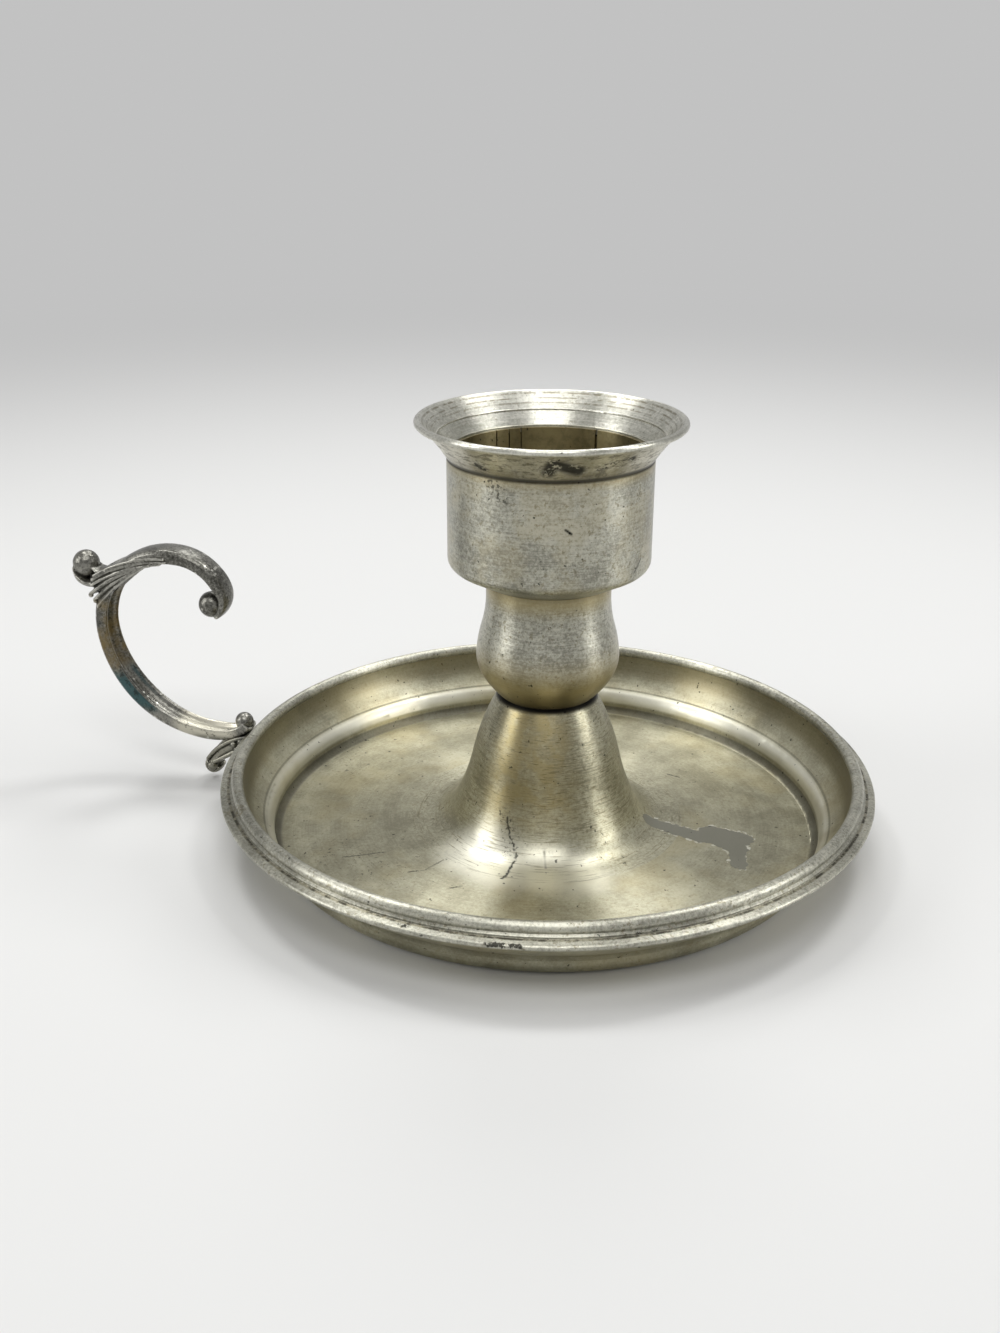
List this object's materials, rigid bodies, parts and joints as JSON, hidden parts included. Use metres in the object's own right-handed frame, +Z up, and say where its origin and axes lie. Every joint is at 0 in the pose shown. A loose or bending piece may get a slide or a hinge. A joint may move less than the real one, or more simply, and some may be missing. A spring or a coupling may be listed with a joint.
{
  "type": "chamberstick",
  "caption": "Chamberstick: round pan with a moulded rim, spun stem and knop, candle cup with a lift-out flared nozzle, and a cast C-scroll finger loop with a thumb leaf.",
  "frame": {"origin": "on the pan's axis, at the surface that the pan stands on", "axes": "+Z up along the pan's axis; the handle points to -X, in the plane y = 0"},
  "size_m": [0.1804, 0.14, 0.0902],
  "materials": {
    "silver_plate": "brushed, worn and tarnished silver plate on brass",
    "steel": "dull steel fasteners"
  },
  "bodies": {
    "stick": {"pan": "silver_plate", "rim_border": "silver_plate", "stem": "silver_plate", "knop": "silver_plate", "candle_cup": "silver_plate", "finger_scroll": "silver_plate", "rim_bracket": "silver_plate", "tie_bolt": "steel", "bolt_washer": "steel", "bolt_nut": "steel"},
    "nozzle": {"nozzle_collar": "silver_plate", "nozzle_sleeve": "silver_plate"}
  },
  "joints": [
    {"name": "nozzle_lift", "type": "slide", "parent": "stick", "child": "nozzle", "axis": [0, 0, 1], "range_m": [0, 0.02]}
  ]
}
